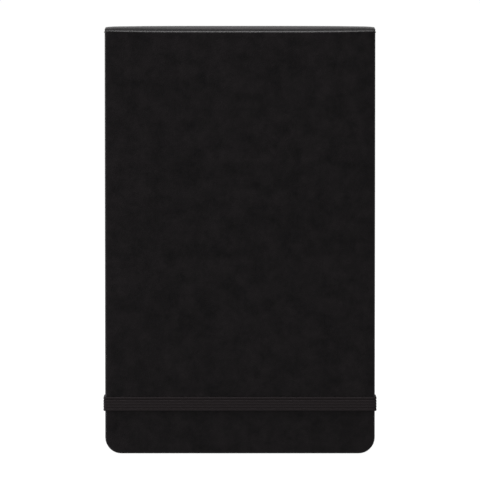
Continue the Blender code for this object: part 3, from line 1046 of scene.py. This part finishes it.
def build_elastic(material):
    """Front run with its two turned ends, the side runs and the hooks into the back cover."""
    run_low, run_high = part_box("elastic_front_run")
    thickness = run_high.y - run_low.y
    section = elastic_section(thickness, run_low.z, run_high.z)
    inner_x = run_high.x - thickness
    inner_front, inner_back = run_high.y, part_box("elastic_return_right")[1].y - thickness
    radius = ELASTIC_BEND
    down = -math.pi / 2

    left, left_out = bend_points(
        (-inner_x + radius, inner_front + radius), -math.pi, down, radius, BEND_STEPS
    )
    right, right_out = bend_points(
        (inner_x - radius, inner_front + radius), down, 0, radius, BEND_STEPS
    )
    end = inner_front + radius + ELASTIC_WRAP
    across = spread(-inner_x + radius, inner_x - radius, FRONT_STEPS)
    straight = [(x, inner_front) for x in across[1:-1]]
    path = [(-inner_x, end)] + left + straight + right + [(inner_x, end)]
    outs = [(-1, 0)] + left_out + [(0, -1)] * len(straight) + right_out + [(1, 0)]
    run = sweep("elastic_band_front", path, section, outs, [0] * len(path))
    dress(run, material)
    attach(run, "elastic")
    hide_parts("elastic_front_run")

    drop = run_low.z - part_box("elastic_return_right")[0].z
    hook_start = inner_back - radius - ELASTIC_WRAP
    for hand, way in (("left", -1), ("right", 1)):
        side_path = [(way * inner_x, y) for y in spread(end, hook_start, SIDE_STEPS)]
        side_outs = [(way, 0)] * len(side_path)
        side_drops = spread(0, drop, SIDE_STEPS)
        side = sweep(f"elastic_side_{hand}", side_path, section, side_outs, side_drops)
        dress(side, material)
        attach(side, "back_cover")
        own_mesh(side)

        corner, corner_out = bend_points(
            (inner_x - radius, inner_back - radius), 0, math.pi / 2, radius, BEND_STEPS
        )
        slit_centre = (SLIT_X + SLIT_BEND, inner_back - SLIT_BEND)
        slit_bend, slit_out = bend_points(
            slit_centre, math.pi / 2, math.pi, SLIT_BEND, SLIT_BEND_STEPS
        )
        across = spread(inner_x - radius, SLIT_X + SLIT_BEND, TAIL_STEPS)
        flat = [(x, inner_back) for x in across[1:-1]]
        path = [(inner_x, hook_start)] + corner + flat + slit_bend
        path.append((SLIT_X, inner_back - TAIL_DEPTH))
        outs = [(1, 0)] + corner_out + [(0, 1)] * len(flat) + slit_out + [(-1, 0)]
        path = [(way * x, y) for x, y in path]
        outs = [(way * x, y) for x, y in outs]
        hook = sweep(f"elastic_hook_{hand}", path, section, outs, [drop] * len(path))
        dress(hook, material)
        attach(hook, "back_cover")
        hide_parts(f"elastic_return_{hand}")


# ---------------------------------------------------------------- studio


def build_studio():
    """Pale floor, surroundings that look white and light more from behind, and soft lamps."""
    mesh = bpy.data.meshes.new("studio_floor")
    work = bmesh.new()
    bmesh.ops.create_grid(
        work, x_segments=FLOOR_CELLS, y_segments=FLOOR_CELLS, size=FLOOR_SIZE / 2
    )
    work.to_mesh(mesh)
    work.free()
    floor = bpy.data.objects.new("studio_floor", mesh)
    floor.location.z = cad_bounds[0][2] - FLOOR_GAP
    bpy.context.scene.collection.objects.link(floor)
    dress(floor, studio_floor())

    world = bpy.data.worlds.new("studio")
    bpy.context.scene.world = world
    world.use_nodes = True
    nodes, links = world.node_tree.nodes, world.node_tree.links
    background = nodes["Background"]
    background.inputs["Color"].default_value = (1, 1, 1, 1)
    source = nodes.new("ShaderNodeTexCoord")
    split = nodes.new("ShaderNodeSeparateXYZ")
    links.new(source.outputs["Generated"], split.inputs["Vector"])
    lighting = nodes.new("ShaderNodeMapRange")
    lighting.inputs["From Min"].default_value = -1.0
    lighting.inputs["To Min"].default_value = WORLD_FRONT
    lighting.inputs["To Max"].default_value = WORLD_BACK
    links.new(split.outputs["Y"], lighting.inputs["Value"])
    strength = camera_switch(nodes, links, 0.0, 1.0)
    brighter = nodes.new("ShaderNodeMath")
    brighter.operation = "MAXIMUM"
    links.new(lighting.outputs["Result"], brighter.inputs[0])
    links.new(strength, brighter.inputs[1])
    links.new(brighter.outputs["Value"], background.inputs["Strength"])

    middle = Vector((0, 0, TOP / 2))
    for name, place, size, power in LAMPS:
        lamp = bpy.data.lights.new(name, "AREA")
        lamp.shape = "SQUARE"
        lamp.size = size
        lamp.energy = power
        light = bpy.data.objects.new(name, lamp)
        light.location = place
        light.rotation_euler = (middle - Vector(place)).to_track_quat("-Z", "Y").to_euler()
        light.visible_camera = False
        bpy.context.scene.collection.objects.link(light)


def build_camera():
    """Long lens, square on to the front cover and a little above it."""
    camera = bpy.data.cameras.new("camera")
    camera.lens = CAMERA_LENS
    camera.sensor_width = CAMERA_SENSOR
    camera.clip_end = CAMERA_REACH
    distance = FRAME_HEIGHT * CAMERA_LENS / CAMERA_SENSOR
    aim = Vector((0, 0, AIM_HEIGHT))
    back = Vector((0, -math.cos(CAMERA_ELEVATION), math.sin(CAMERA_ELEVATION)))
    item = bpy.data.objects.new("camera", camera)
    item.location = aim + back * distance
    item.rotation_euler = (-back).to_track_quat("-Z", "Y").to_euler()
    bpy.context.scene.collection.objects.link(item)
    bpy.context.scene.camera = item
    bpy.context.scene.view_settings.view_transform = "Standard"


# ---------------------------------------------------------------- build


def build_notebook():
    """Every visible piece and the finish of the CAD nodes that stay."""
    endpaper = paper("endpaper", ENDPAPER_LIGHT, ENDPAPER_DARK)
    writing_paper = paper("writing_paper", WRITING_LIGHT, WRITING_DARK, ruled=True)
    gauze = woven_cloth("spine_gauze", GAUZE_LIGHT, GAUZE_DARK, GAUZE_THREADS)
    bookcloth = woven_cloth("bookcloth", BOOKCLOTH_LIGHT, BOOKCLOTH_DARK, BOOKCLOTH_THREADS)
    board = greyboard()

    build_cover_cloth(leatherette())
    build_leaves(writing_paper)
    build_paper_folds(endpaper, gauze)
    build_gussets(bookcloth)
    build_elastic(woven_elastic())

    for node in ("front_pastedown", "back_pastedown", "front_flyleaf", "back_flyleaf", "pocket_panel"):
        dress_node(node, endpaper)
    for node in ("front_board", "back_board", "front_spine_card", "rear_spine_card"):
        dress_node(node, board)
    for node in ("front_spine_lining", "rear_spine_lining"):
        dress_node(node, gauze)
    thread = waxed_thread()
    for node in ("front_sewing_thread", "rear_sewing_thread"):
        dress_node(node, thread)


build_notebook()
build_studio()
build_camera()
